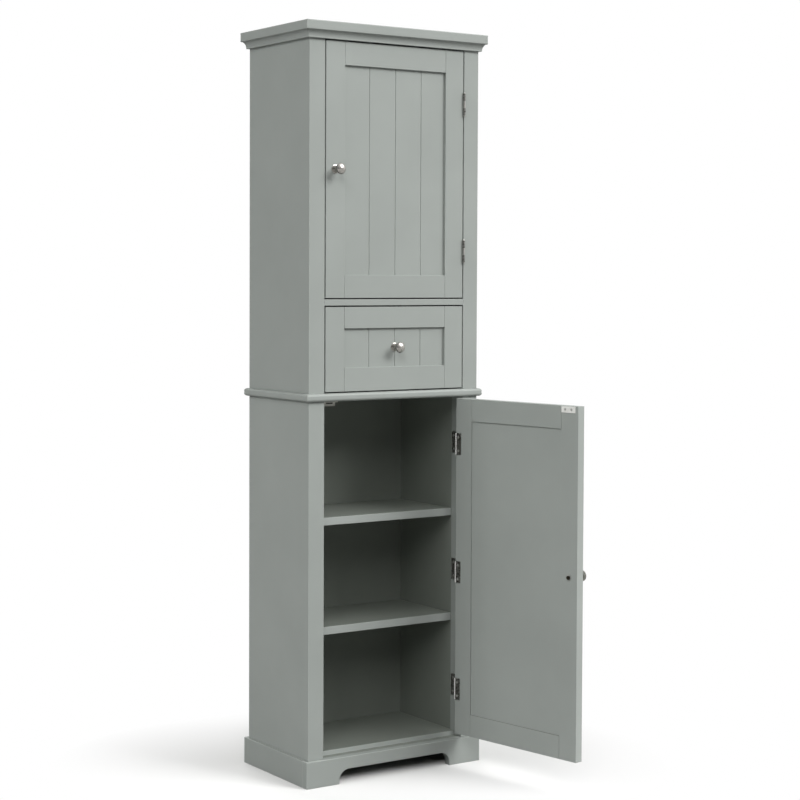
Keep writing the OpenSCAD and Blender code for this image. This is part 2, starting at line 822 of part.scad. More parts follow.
module lower_door_strike() { color("#c9ccce") place_lower() door_strike(lower_h, lower_hinges); }
module lower_door_knob() {
  color("#d8dadc") place_lower() translate([knob_x, 0, lower_knob_z]) rotate([90, 0, 0]) knob();
}
module lower_door_knob_screw() {
  color("#8b8d8c") place_lower() translate([knob_x, 0, lower_knob_z]) rotate([90, 0, 0])
    knob_bolt(door_t);
}

// drawer
module place_front() { translate([in_l + gap, yf, waist_z + gap]) children(); }
module drawer_front_stile_left() {
  color("#a3a9a4") place_front() frame_stile(front_h, drawer_rail_top, drawer_rail_low);
}
module drawer_front_stile_right() {
  color("#a3a9a4") place_front() translate([door_w, 0, 0]) mirror([1, 0, 0])
    frame_stile(front_h, drawer_rail_top, drawer_rail_low);
}
module drawer_front_rail_top() {
  color("#a7ada8") place_front()
    frame_rail(door_w, front_h - drawer_rail_top, drawer_rail_top, false);
}
module drawer_front_rail_bottom() {
  color("#a7ada8") place_front() frame_rail(door_w, 0, drawer_rail_low, true);
}
module drawer_front_panel() {
  color("#9fa5a0") place_front() difference() {
    frame_panel(door_w, front_h, drawer_rail_top, drawer_rail_low);
    translate([door_w/2 + board_shift, 0, knob_mid]) rotate([-90, 0, 0])
      cylinder(h = door_t, r = bolt_r + bolt_gap);
  }
}

// left drawer side: groove outside for the runner, groove inside for the bottom
module box_side() {
  y0 = yf + door_t;
  difference() {
    span([-box_w/2, y0, box_z], [-box_w/2 + box_t, y0 + box_d, box_z + box_h]);
    span([-box_w/2 - e, runner_y - groove_lead, runner_z - runner_gap],
      [-box_w/2 + slot_d, y0 + box_d + e, runner_z + runner_h + runner_gap]);
    span([-box_w/2 + box_t - bottom_groove, y0 - e, box_z + bottom_lift],
      [-box_w/2 + box_t + e, y0 + box_d + e, box_z + bottom_lift + bottom_t]);
  }
}
module drawer_side_left() { color("#cdb58c") box_side(); }
module drawer_side_right() { color("#cdb58c") mirror([1, 0, 0]) box_side(); }
module drawer_back() {
  y1 = yf + door_t + box_d;
  color("#cdb58c") span([-box_w/2 + box_t, y1 - box_t, box_z + bottom_lift + bottom_t],
    [box_w/2 - box_t, y1, box_z + box_h]);
}
module drawer_bottom() {
  w = box_w/2 - box_t + bottom_groove - bottom_gap;
  color("#d6c29c") span([-w, yf + door_t, box_z + bottom_lift],
    [w, yf + door_t + box_d, box_z + bottom_lift + bottom_t]);
}
module drawer_knob() {
  color("#d8dadc") place_front() translate([door_w/2 + board_shift, panel_set, knob_mid])
    rotate([90, 0, 0]) knob();
}
module drawer_knob_screw() {
  color("#8b8d8c") place_front() translate([door_w/2 + board_shift, panel_set, knob_mid])
    rotate([90, 0, 0]) knob_bolt(panel_t);
}

crown_board();
crown_cove_front();
crown_cove_left();
crown_cove_right();
crown_cove_back();
top_board();
upper_side_left();
upper_side_right();
upper_back();
upper_shelf();
shelf_pins();
drawer_divider();
drawer_runner_left();
drawer_runner_right();
waist_board();
lower_side_left();
lower_side_right();
lower_back();
lower_shelf_high();
lower_shelf_low();
floor_board();
plinth_front();
plinth_left();
plinth_right();
plinth_back();
hinge_frame_leaves();
hinge_pins();
case_screws();
magnetic_catches();
upper_door_hinge_stile();
upper_door_latch_stile();
upper_door_top_rail();
upper_door_bottom_rail();
upper_door_panel();
upper_door_hinge_leaves();
upper_door_screws();
upper_door_strike();
upper_door_knob();
upper_door_knob_screw();
lower_door_hinge_stile();
lower_door_latch_stile();
lower_door_top_rail();
lower_door_bottom_rail();
lower_door_panel();
lower_door_hinge_leaves();
lower_door_screws();
lower_door_strike();
lower_door_knob();
lower_door_knob_screw();
drawer_front_stile_left();
drawer_front_stile_right();
drawer_front_rail_top();
drawer_front_rail_bottom();
drawer_front_panel();
drawer_side_left();
drawer_side_right();
drawer_back();
drawer_bottom();
drawer_knob();
drawer_knob_screw();
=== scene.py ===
import json
import math
import bmesh
import bpy
import numpy as np
from mathutils import Matrix, Vector


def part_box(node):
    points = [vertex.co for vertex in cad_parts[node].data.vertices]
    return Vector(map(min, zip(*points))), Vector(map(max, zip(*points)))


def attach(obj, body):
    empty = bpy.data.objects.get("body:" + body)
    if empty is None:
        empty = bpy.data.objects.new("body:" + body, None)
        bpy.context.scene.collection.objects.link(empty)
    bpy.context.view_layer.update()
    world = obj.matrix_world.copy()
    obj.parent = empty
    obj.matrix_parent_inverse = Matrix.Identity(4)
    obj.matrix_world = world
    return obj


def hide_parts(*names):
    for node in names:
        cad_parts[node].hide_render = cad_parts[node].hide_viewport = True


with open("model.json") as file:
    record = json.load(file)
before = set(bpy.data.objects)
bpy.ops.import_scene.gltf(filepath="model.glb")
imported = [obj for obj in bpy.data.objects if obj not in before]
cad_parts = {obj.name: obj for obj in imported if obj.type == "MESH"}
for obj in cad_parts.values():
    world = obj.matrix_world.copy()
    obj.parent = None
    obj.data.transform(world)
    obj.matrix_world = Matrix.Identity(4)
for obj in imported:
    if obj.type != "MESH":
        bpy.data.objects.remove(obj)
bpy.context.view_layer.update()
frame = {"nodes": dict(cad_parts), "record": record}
nodes = frame["nodes"]
print("frame loaded:", len(nodes), "solids")

# fitted to the straight edges of the cabinet: metres, degrees, and millimetres for the lens
cameraSettings = {
    "place": (-2.3690, -3.8200, 1.1391),
    "yaw": 33.842,      # to the right of the view along +Y
    "pitch": -2.094,
    "roll": -0.241,
    "lens": 84.6,
    "sensorWidth": 36.0,
    "shiftY": -0.0685,
    "clipEnd": 50.0,
}


def placeCamera(settings):
    yaw, pitch, roll = (math.radians(settings[k]) for k in ("yaw", "pitch", "roll"))
    look = Vector((math.sin(yaw) * math.cos(pitch),
                   math.cos(yaw) * math.cos(pitch),
                   math.sin(pitch)))
    right = Vector((math.cos(yaw), -math.sin(yaw), 0))
    up = right.cross(look)
    camRight = right * math.cos(roll) - up * math.sin(roll)
    camUp = right * math.sin(roll) + up * math.cos(roll)
    turn = Matrix((camRight, camUp, -look)).transposed().to_4x4()
    data = bpy.data.cameras.new("photoCamera")
    data.lens = settings["lens"]
    data.sensor_width = settings["sensorWidth"]
    data.shift_y = settings["shiftY"]
    data.clip_end = settings["clipEnd"]
    camera = bpy.data.objects.new("photoCamera", data)
    camera.matrix_world = Matrix.Translation(settings["place"]) @ turn
    bpy.context.scene.collection.objects.link(camera)
    bpy.context.scene.camera = camera


placeCamera(cameraSettings)
print("camera placed")


def toLinear(hexColour):
    parts = [int(hexColour[i:i + 2], 16) / 255 for i in (1, 3, 5)]
    linear = [c / 12.92 if c <= 0.04045 else ((c + 0.055) / 1.055) ** 2.4 for c in parts]
    return tuple(linear) + (1.0,)


def addNode(tree, kind, settings=None, links=None):
    node = tree.nodes.new(kind)
    for key, value in (settings or {}).items():
        if key == "stops":      # of a colour ramp: places with hex colours or plain levels
            ramp = node.color_ramp
            while len(ramp.elements) < len(value):
                ramp.elements.new(0.5)
            for stop, (place, colour) in zip(ramp.elements, value):
                isHex = isinstance(colour, str)
                stop.position = place
                stop.color = toLinear(colour) if isHex else (colour, colour, colour, 1)
        elif isinstance(key, int) or key in node.inputs:
            node.inputs[key].default_value = value
        else:
            setattr(node, key, value)
    for key, socket in (links or {}).items():
        tree.links.new(socket, node.inputs[key])
    return node


def newMaterial(name):
    material = bpy.data.materials.new(name)
    material.use_nodes = True
    material.node_tree.nodes.clear()
    return material, material.node_tree


# sprayed satin lacquer on MDF: even grey-green, a faint cloudiness, a fine orange peel
paint = {
    "light": "#9EA39F", "dark": "#989D99",
    "insideShadeLight": "#81867F", "insideShadeDark": "#7B8079",   # darker: painted shade inside the compartments
    "edgeHighlightLight": "#A9AEAA", "edgeHighlightDark": "#A1A6A2",   # paler: a painted highlight on eased edges
    "roughLow": 0.44, "roughHigh": 0.56,
    "ior": 1.48, "specular": 0.36,
    "cloud": 0.24,      # metres across one soft patch
    "cloudFrom": 0.3, "cloudTo": 0.7,
    "peel": 0.0035,     # real peel is about 1 mm, drawn coarser so that it shows
    "peelDepth": 0.00006, "peelStrength": 0.5,
}


def paintedMdf(name, light, dark):
    material, tree = newMaterial(name)
    place = addNode(tree, "ShaderNodeTexCoord").outputs["Object"]
    cloud = addNode(tree, "ShaderNodeTexNoise",
                    {"Scale": 1 / paint["cloud"], "Detail": 3.0, "Roughness": 0.6},
                    {"Vector": place})
    peel = addNode(tree, "ShaderNodeTexNoise",
                   {"Scale": 1 / paint["peel"], "Detail": 2.0, "Roughness": 0.5},
                   {"Vector": place})
    tone = addNode(tree, "ShaderNodeValToRGB",
                   {"stops": [(paint["cloudFrom"], dark), (paint["cloudTo"], light)]},
                   {"Fac": cloud.outputs["Fac"]})
    rough = addNode(tree, "ShaderNodeMapRange",
                    {"To Min": paint["roughLow"], "To Max": paint["roughHigh"]},
                    {"Value": peel.outputs["Fac"]})
    bump = addNode(tree, "ShaderNodeBump",
                   {"Strength": paint["peelStrength"], "Distance": paint["peelDepth"]},
                   {"Height": peel.outputs["Fac"]})
    surface = addNode(tree, "ShaderNodeBsdfPrincipled",
                      {"IOR": paint["ior"], "Specular IOR Level": paint["specular"]},
                      {"Base Color": tone.outputs["Color"],
                       "Roughness": rough.outputs["Result"],
                       "Normal": bump.outputs["Normal"]})
    addNode(tree, "ShaderNodeOutputMaterial", None, {"Surface": surface.outputs["BSDF"]})
    return material


# polished nickel plate on turned brass: warm silver with faint polishing marks
nickel = {"bright": "#E8E5E0", "dull": "#D8D4CD", "roughLow": 0.13, "roughHigh": 0.22,
          "marks": 0.0016, "metallic": 1.0}

# the neck of a knob is drawn greyer: painted shade under the head
neckShadeNickel = {"bright": "#B4B1AB", "dull": "#9A9790", "roughLow": 0.20, "roughHigh": 0.32,
              "marks": 0.0012, "metallic": 1.0}

# hinge leaves are drawn darker than the turned knobs, as painted shade and dark reflection, and
# stained
hingeShadeNickel = {"bright": "#A3A29E", "dull": "#6C6B67", "roughLow": 0.22, "roughHigh": 0.36,
               "marks": 0.004, "metallic": 0.85}

# turned barrels and pins are brighter than the leaves, with a soft shine
barrel = {"bright": "#D2D1CD", "dull": "#B4B3AF", "roughLow": 0.33, "roughHigh": 0.45,
          "marks": 0.0012, "metallic": 1.0}

# the rolled bend of a leaf is drawn nearly white: a painted highlight
bendHighlightNickel = {"bright": "#F2F1EE", "dull": "#D6D5D1", "roughLow": 0.25, "roughHigh": 0.38,
                "marks": 0.0010, "metallic": 0.1}

# zinc-plated screws: pale grey and slightly cloudy
zinc = {"bright": "#D2D2CE", "dull": "#A4A4A0", "roughLow": 0.28, "roughHigh": 0.45,
        "marks": 0.0008, "metallic": 0.5}

# blackened bolt heads: brown-black with an oily shine
oxide = {"bright": "#3E382C", "dull": "#2A261E", "roughLow": 0.30, "roughHigh": 0.45,
         "marks": 0.0010, "metallic": 0.8}

# the magnets are nearly black, with the sheen of ground ferrite
ferrite = {"bright": "#33332F", "dull": "#232320", "roughLow": 0.45, "roughHigh": 0.6,
           "marks": 0.0010, "metallic": 1.0}


def platedMetal(name, settings):
    material, tree = newMaterial(name)
    place = addNode(tree, "ShaderNodeTexCoord").outputs["Object"]
    marks = addNode(tree, "ShaderNodeTexNoise",
                    {"Scale": 1 / settings["marks"], "Detail": 4.0}, {"Vector": place})
    tone = addNode(tree, "ShaderNodeValToRGB",
                   {"stops": [(0.35, settings["dull"]), (0.65, settings["bright"])]},
                   {"Fac": marks.outputs["Fac"]})
    rough = addNode(tree, "ShaderNodeMapRange",
                    {"To Min": settings["roughLow"], "To Max": settings["roughHigh"]},
                    {"Value": marks.outputs["Fac"]})
    surface = addNode(tree, "ShaderNodeBsdfPrincipled", {"Metallic": settings["metallic"]},
                      {"Base Color": tone.outputs["Color"],
                       "Roughness": rough.outputs["Result"]})
    addNode(tree, "ShaderNodeOutputMaterial", None, {"Surface": surface.outputs["BSDF"]})
    return material


# clear-lacquered birch for the drawer box: pale, with fine long grain
birch = {"light": "#D9C19A", "dark": "#C3A578", "grain": 0.0025, "stretch": 30.0, "rough": 0.45}

# waxed beech for the runners: redder and closer grained
beech = {"light": "#C49A6C", "dark": "#A87C50", "grain": 0.0016, "stretch": 22.0, "rough": 0.5}
woodPores = {"strength": 0.25, "depth": 0.0002, "rougher": 0.08, "smoother": 0.05}


def lacqueredWood(name, settings, along):
    material, tree = newMaterial(name)
    place = addNode(tree, "ShaderNodeTexCoord").outputs["Object"]
    scale = [1 / settings["grain"]] * 3
    scale["xyz".index(along)] /= settings["stretch"]
    drawnOut = addNode(tree, "ShaderNodeMapping", {"Scale": tuple(scale)}, {"Vector": place})
    grain = addNode(tree, "ShaderNodeTexNoise",
                    {"Scale": 0.6, "Detail": 5.0, "Roughness": 0.6, "Distortion": 0.4},
                    {"Vector": drawnOut.outputs["Vector"]})
    tone = addNode(tree, "ShaderNodeValToRGB",
                   {"stops": [(0.36, settings["dark"]), (0.62, settings["light"])]},
                   {"Fac": grain.outputs["Fac"]})
    # dark late wood is the rougher
    rough = addNode(tree, "ShaderNodeMapRange",
                    {"To Min": settings["rough"] + woodPores["rougher"],
                     "To Max": settings["rough"] - woodPores["smoother"]},
                    {"Value": grain.outputs["Fac"]})
    bump = addNode(tree, "ShaderNodeBump",
                   {"Strength": woodPores["strength"], "Distance": woodPores["depth"]},
                   {"Height": grain.outputs["Fac"]})
    surface = addNode(tree, "ShaderNodeBsdfPrincipled", {"IOR": 1.5},
                      {"Base Color": tone.outputs["Color"],
                       "Roughness": rough.outputs["Result"],
                       "Normal": bump.outputs["Normal"]})
    addNode(tree, "ShaderNodeOutputMaterial", None, {"Surface": surface.outputs["BSDF"]})
    return material


# moulded acetal of the catches: off-white, slightly waxy
acetal = {"light": "#E6E4DC", "dark": "#D8D6CE", "rough": 0.42, "flow": 0.006}

# baked white coat on the strike plates: smooth and even, paler than the doors
strikeCoat = {"light": "#EDEDE9", "dark": "#E2E2DE", "rough": 0.36, "flow": 0.004}


def smoothWhite(name, settings):
    material, tree = newMaterial(name)
    place = addNode(tree, "ShaderNodeTexCoord").outputs["Object"]
    flow = addNode(tree, "ShaderNodeTexNoise", {"Scale": 1 / settings["flow"], "Detail": 2.0},
                   {"Vector": place})
    tone = addNode(tree, "ShaderNodeValToRGB",
                   {"stops": [(0.3, settings["dark"]), (0.7, settings["light"])]},
                   {"Fac": flow.outputs["Fac"]})
    rough = addNode(tree, "ShaderNodeMapRange",
                    {"To Min": settings["rough"] - 0.06, "To Max": settings["rough"] + 0.08},
                    {"Value": flow.outputs["Fac"]})
    surface = addNode(tree, "ShaderNodeBsdfPrincipled", {"IOR": 1.48},
                      {"Base Color": tone.outputs["Color"],
                       "Roughness": rough.outputs["Result"]})
    addNode(tree, "ShaderNodeOutputMaterial", None, {"Surface": surface.outputs["BSDF"]})
    return material


paintFace = paintedMdf("satin lacquered MDF", paint["light"], paint["dark"])
paintInsideShade = paintedMdf("lacquer darkened as painted inside shade", paint["insideShadeLight"], paint["insideShadeDark"])
paintEdgeHighlight = paintedMdf("satin lacquer paled as painted edge highlight", paint["edgeHighlightLight"], paint["edgeHighlightDark"])
knobNickel = platedMetal("polished nickel plate", nickel)
nickelPaintedShade = platedMetal("nickel darkened as painted hinge and rim shade", hingeShadeNickel)
barrelNickel = platedMetal("nickel plate on turned hinge barrels", barrel)
magnetDark = platedMetal("ferrite magnet and steel pole plates", ferrite)
strikeWhite = smoothWhite("white-coated strike steel", strikeCoat)
zincSteel = platedMetal("zinc-plated screw steel", zinc)
neckPaintedShade = platedMetal("nickel greyed as painted neck shade", neckShadeNickel)
bendPaintedHighlight = platedMetal("nickel whitened as painted bend highlight", bendHighlightNickel)
boltBlack = platedMetal("blackened bolt steel", oxide)
birchAlongY = lacqueredWood("lacquered birch along the drawer", birch, "y")
birchAlongX = lacqueredWood("lacquered birch across the drawer", birch, "x")
beechStrip = lacqueredWood("waxed beech", beech, "y")
catchAcetal = smoothWhite("moulded acetal", acetal)
print("materials made")

# easing of the solids' edges, and which faces shade as one: metres, degrees, and cosines
easing = {
    "weld": 1e-6,       # corners of the loose triangles that are one point
    "flat": 0.6,        # degrees between triangles of one flat face
    "sharp": 40.0,      # degrees from which an edge is eased
    "segments": 3,
    "upright": 0.9,     # share of an upright edge's length that is height
}
shading = {
    "bendFrom": 0.4, "bendTo": 25.0,    # degrees between two faces of a curved run
    "together": 0.6,                    # faces that share a corner's normal
    "facing": 0.9,                      # a face that looks a given way
    "square": 0.99,                     # a face that looks exactly that way
    "leaning": 0.3,                     # eased edges counted in
}


def finishPiece(name, mesh, body, nodeName, materials):
    piece = bpy.data.objects.new(name, mesh)
    bpy.context.scene.collection.objects.link(piece)
    for material in materials:
        mesh.materials.append(material)
    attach(piece, body)
    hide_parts(nodeName)
    return piece


def bodyOf(nodeName):
    for body, members in frame["record"]["behaviour"]["bodies"].items():
        if nodeName in members:
            return body


def looseParts(nodeName):
    # the corner points of each separate solid of the node
    bm = bmesh.new()
    bm.from_mesh(nodes[nodeName].data)
    bmesh.ops.remove_doubles(bm, verts=bm.verts, dist=easing["weld"])
    left, parts = set(bm.verts), []
    while left:
        island, queue = set(), [next(iter(left))]
        while queue:
            vert = queue.pop()
            if vert not in island:
                island.add(vert)
                queue.extend(e.other_vert(vert) for e in vert.link_edges)
        left -= island
        parts.append(np.array([v.co for v in island]))
    bm.free()
    return parts


def surfaceMiddle(nodeName):
    total, weight = Vector(), 0.0
    for face in nodes[nodeName].data.polygons:
        total += face.center * face.area
        weight += face.area
    return total / weight


def longAxis(points):
    # the direction in which the points spread most
    return np.linalg.eigh(np.cov((points - points.mean(axis=0)).T))[1][:, 2]


def hardenShading(mesh):
    # flat faces shade flat; curved runs and eased edges shade smooth and meet the flat
    # faces without a step
    bm = bmesh.new()
    bm.from_mesh(mesh)
    bm.normal_update()
    least, most = math.radians(shading["bendFrom"]), math.radians(shading["bendTo"])
    curved = set()
    for edge in bm.edges:
        pair = edge.link_faces
        if len(pair) == 2 and least < edge.calc_face_angle(0) < most:
            if pair[0].material_index == pair[1].material_index:
                curved.update(face.index for face in pair)
    normals = []
    for face in bm.faces:
        bent = face.index in curved or face.material_index == 1
        for loop in face.loops:
            if not bent:
                normals.append(tuple(face.normal))
                continue
            around = [f for f in loop.vert.link_faces
                      if f.normal.dot(face.normal) > shading["together"]]
            flats = [f for f in around if f.material_index == 0 and f.index not in curved]
            if face.material_index == 1 and flats:
                around = flats
            blended = Vector()
            for f in around:
                blended += f.normal * f.calc_area()
            normals.append(tuple(blended.normalized() if blended.length > 0 else face.normal))
    bm.free()
    mesh.shade_smooth()
    mesh.normals_split_custom_set(normals)


# the gap at each end of a rail, and how near its end a point has to be to move, in metres
railJoint = {"hair": 0.0006, "end": 0.0005}


def openJoints(bm):
    # a rail stops a hair short of the stile at each end, so that the joint shows as a line
    points = np.array([v.co for v in bm.verts])
    along = longAxis(points)
    reach = (points - (points.max(axis=0) + points.min(axis=0)) / 2) @ along
    for vert, far in zip(bm.verts, reach):
        if abs(far) > reach.max() - railJoint["end"]:
            vert.co -= Vector(along) * math.copysign(railJoint["hair"], far)


def easedCopy(nodeName, slotName, faceMaterial, edgeMaterial, ease=0.0, sharpUpTo=0.0,
              uprightOnly=False):
    bm = bmesh.new()
    bm.from_mesh(nodes[nodeName].data)
    bmesh.ops.remove_doubles(bm, verts=bm.verts, dist=easing["weld"])
    if "_rail" in nodeName:
        openJoints(bm)
    bmesh.ops.dissolve_limit(bm, angle_limit=math.radians(easing["flat"]),
                             verts=bm.verts, edges=bm.edges)
    for face in bm.faces:
        face.material_index = 0
    if ease:
        sharp = [e for e in bm.edges if len(e.link_faces) == 2 and e.calc_length() > sharpUpTo
                 and e.calc_face_angle(0) > math.radians(easing["sharp"])]
        if uprightOnly:
            sharp = [e for e in sharp if abs(e.verts[0].co.z - e.verts[1].co.z)
                     > easing["upright"] * e.calc_length()]
        if sharp:
            bmesh.ops.bevel(bm, geom=sharp, offset=ease, offset_type="OFFSET",
                            segments=easing["segments"], profile=0.5, affect="EDGES",
                            clamp_overlap=False, loop_slide=True, material=1)
    mesh = bpy.data.meshes.new("eased_" + nodeName)
    bm.to_mesh(mesh)
    bm.free()
    hardenShading(mesh)
    return finishPiece("eased_" + nodeName, mesh, bodyOf(nodeName), nodeName,
                       [faceMaterial, edgeMaterial])


# each painted board: its eased edge, and the length up to which an edge stays sharp, in metres
paintedBoards = {
    "crown_board": (0.0016, 0.004),
    "crown_cove_front": (0.0003, 0.006), "crown_cove_left": (0.0003, 0.006),
    "crown_cove_right": (0.0003, 0.006), "crown_cove_back": (0.0003, 0.006),
    "top_board": (0.0006, 0.006),
    "upper_side_left": (0.0008, 0.007), "upper_side_right": (0.0008, 0.007),
    "upper_back": (0.0006, 0.006), "upper_shelf": (0.0010, 0.006),
    "drawer_divider": (0.0010, 0.001), "waist_board": (0.0016, 0.004),
    "lower_side_left": (0.0008, 0.007), "lower_side_right": (0.0008, 0.007),
    "lower_back": (0.0006, 0.006),
    "lower_shelf_high": (0.0010, 0.001), "lower_shelf_low": (0.0010, 0.001),
    "floor_board": (0.0008, 0.001), "plinth_front": (0.0010, 0.0005),
    "plinth_left": (0.0010, 0.006), "plinth_right": (0.0010, 0.006),
    "plinth_back": (0.0010, 0.006),
}
frameMember, boardedPanel = (0.0005, 0.006), (0.00035, 0.006)
for door in ("upper_door", "lower_door"):
    for member in ("hinge_stile", "latch_stile", "top_rail", "bottom_rail"):
        paintedBoards[door + "_" + member] = frameMember
    paintedBoards[door + "_panel"] = boardedPanel
for member in ("stile_left", "stile_right", "rail_top", "rail_bottom"):
    paintedBoards["drawer_front_" + member] = frameMember
paintedBoards["drawer_front_panel"] = boardedPanel
nosedBoards = ("crown_board", "waist_board")    # their long edges are rounded in the solid
backsInPaintedShade = ("upper_back", "lower_back")

# where the painted inside shade lies, in metres
insideShadePlaces = {
    "stileBack": -0.224,    # the walls have it behind their front stiles
    "wallWithin": 0.2,      # and only on the side that faces the compartment
    "jointDeep": 0.0032,    # depth of the inside corner beside a door's panel
}

# the way each door's inside and hinge edge face at rest
doorFacing = {
    "upper_door": {"inside": (0.0, 1.0, 0.0), "hingeEdge": (1.0, 0.0, 0.0)},
    "lower_door": {"inside": (-0.985, -0.174, 0.0), "hingeEdge": (-0.174, 0.985, 0.0)},
}


def paintWallShade(piece):
    # painted shade: the side walls of the compartments get the darker inside lacquer
    piece.data.materials.append(paintInsideShade)
    inward = -1 if piece.data.vertices[0].co.x > 0 else 1
    for face in piece.data.polygons:
        if (face.normal.x * inward > shading["facing"]
                and face.center.y > insideShadePlaces["stileBack"]
                and abs(face.center.x) < insideShadePlaces["wallWithin"]):
            face.material_index = 2


def paintShelfShadeAndHighlight(piece):
    # painted shade on both broad faces, a painted highlight in the paler arris lacquer on the
    # front edge
    piece.data.materials.append(paintInsideShade)
    for face in piece.data.polygons:
        if abs(face.normal.z) > shading["facing"]:
            face.material_index = 2
        elif face.normal.y < -shading["facing"]:
            face.material_index = 1


def paintFreeEdgeHighlight(piece, outward):
    # painted highlight: the free edge of the open door gets the paler arris lacquer
    for face in piece.data.polygons:
        if face.normal.dot(outward) > shading["square"]:
            face.material_index = 1


def paintJointShade(piece, inside, toward):
    # painted shade in the inside corner where a frame member meets the panel
    piece.data.materials.append(paintInsideShade)
    surface = max(v.co.dot(inside) for v in piece.data.vertices)
    for face in piece.data.polygons:
        if (face.normal.dot(toward) > shading["leaning"]
                and surface - face.center.dot(inside) < insideShadePlaces["jointDeep"]):
            face.material_index = 2


# eased edges of every board get the paler lacquer as a painted highlight
for nodeName, (ease, sharpUpTo) in paintedBoards.items():
    # the back panels' faces get the darker inside lacquer as painted shade
    front = paintInsideShade if nodeName in backsInPaintedShade else paintFace
    piece = easedCopy(nodeName, "painted_board", front, paintEdgeHighlight, ease, sharpUpTo,
                      uprightOnly=nodeName in nosedBoards)
    if "_side_" in nodeName:
        paintWallShade(piece)
    elif "shelf" in nodeName or nodeName == "floor_board":
        paintShelfShadeAndHighlight(piece)
    for door, facing in doorFacing.items():
        inside, hingeEdge = Vector(facing["inside"]), Vector(facing["hingeEdge"])
        if nodeName == "lower_door_latch_stile" and door == "lower_door":
            paintFreeEdgeHighlight(piece, -hingeEdge)
        # the inside corners of the door frames get painted shade
        if nodeName == door + "_latch_stile":
            paintJointShade(piece, inside, hingeEdge)
        elif nodeName == door + "_bottom_rail":
            paintJointShade(piece, inside, Vector((0.0, 0.0, 1.0)))
print("painted boards:", len(paintedBoards))

# the drawer box and its runners, eased in the same way
boxEase, runnerEase = (0.0006, 0.004), (0.0008, 0.006)
drawerBox = {
    "drawer_side_left": birchAlongY, "drawer_side_right": birchAlongY,
    "drawer_back": birchAlongX, "drawer_bottom": birchAlongY,
}
for nodeName, grainWood in drawerBox.items():
    easedCopy(nodeName, "drawer_box_wood", grainWood, grainWood, *boxEase)
for nodeName in ("drawer_runner_left", "drawer_runner_right"):
    easedCopy(nodeName, "runner_wood", beechStrip, beechStrip, *runnerEase)

# the leaves on the doors. Their knuckles get the bright barrel nickel as a painted highlight and
# their bends are rolled round: places of a bend are metres from the pin while the door is shut
doorLeaf = {
    "knuckleRadius": 0.0031,
    "across": -0.0019, "behind": 0.0228, "bendRadius": 0.0021,
    "sides": 20, "parts": 5, "gap": 0.0005,
    "turns": {"upper_door_hinge_leaves": 0.0, "lower_door_hinge_leaves": 100.0},   # at rest
}


def pinPlace():
    low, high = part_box("hinge_pins")
    return (low.x + high.x) / 2, (low.y + high.y) / 2


def paintKnuckleHighlight(piece):
    # the door leaves' knuckles get a painted highlight; those of the frame leaves, and all leaves,
    # keep the darker nickel as painted shade
    pinX, pinY = pinPlace()
    for face in piece.data.polygons:
        away = math.hypot(face.center.x - pinX, face.center.y - pinY)
        if away < doorLeaf["knuckleRadius"]:
            face.material_index = 1


def rollBends(piece, nodeName, settings):
    pinX, pinY = pinPlace()
    turn = math.radians(settings["turns"][nodeName])
    across, behind = settings["across"], settings["behind"]
    x = pinX + across * math.cos(turn) - behind * math.sin(turn)
    y = pinY + across * math.sin(turn) + behind * math.cos(turn)
    bm = bmesh.new()
    bm.from_mesh(piece.data)
    for points in looseParts(nodeName):
        foot, top = points[:, 2].min(), points[:, 2].max()
        step = (top - foot) / settings["parts"]
        for i in range(settings["parts"]):
            place = Matrix.Translation((x, y, foot + (i + 0.5) * step))
            made = bmesh.ops.create_cone(bm, cap_ends=True, segments=settings["sides"],
                                         radius1=settings["bendRadius"],
                                         radius2=settings["bendRadius"],
                                         depth=step - settings["gap"], matrix=place)["verts"]
            for face in {f for v in made for f in v.link_faces}:
                face.material_index = 2
    bm.to_mesh(piece.data)
    bm.free()
    # the bend cylinders get the near-white nickel as a painted highlight
    piece.data.materials.append(bendPaintedHighlight)
    hardenShading(piece.data)


# hinge leaves get the darkened nickel: painted shade and dark reflection
for nodeName in ("hinge_frame_leaves", "upper_door_hinge_leaves", "lower_door_hinge_leaves"):
    piece = easedCopy(nodeName, "nickel_plate", nickelPaintedShade, barrelNickel)
    if nodeName in doorLeaf["turns"]:
        paintKnuckleHighlight(piece)
        rollBends(piece, nodeName, doorLeaf)
for nodeName in ("hinge_pins", "shelf_pins"):
    easedCopy(nodeName, "nickel_plate", barrelNickel, barrelNickel)
strikeEase, catchEase = (0.0002, 0.004), (0.0004, 0.003)
for nodeName in ("upper_door_strike", "lower_door_strike"):
    easedCopy(nodeName, "strike_steel", strikeWhite, strikeWhite, *strikeEase)
catches = easedCopy("magnetic_catches", "catch_plastic", catchAcetal, catchAcetal, *catchEase)

# the dark magnet in the front of each catch, between its two pole plates, in metres
magnet = {"width": 0.017, "height": 0.0028, "above": 0.0052, "proud": 0.0002, "deep": 0.003}


def addMagnets(piece, settings):
    bm = bmesh.new()
    bm.from_mesh(piece.data)
    for points in looseParts("magnetic_catches"):
        low, high = points.min(axis=0), points.max(axis=0)
        middle = ((low[0] + high[0]) / 2, low[1] - settings["proud"] + settings["deep"] / 2,
                  low[2] + settings["above"] + settings["height"] / 2)
        made = bmesh.ops.create_cube(bm, size=1.0)["verts"]
        size = (settings["width"], settings["deep"], settings["height"])
        bmesh.ops.scale(bm, vec=size, verts=made)
        bmesh.ops.translate(bm, vec=middle, verts=made)
        for face in {f for v in made for f in v.link_faces}:
            face.material_index = 2
    bm.to_mesh(piece.data)
    bm.free()
    piece.data.materials.append(magnetDark)
    hardenShading(piece.data)


addMagnets(catches, magnet)

boltHead = 0.0047   # radius in metres, a little over the head's own


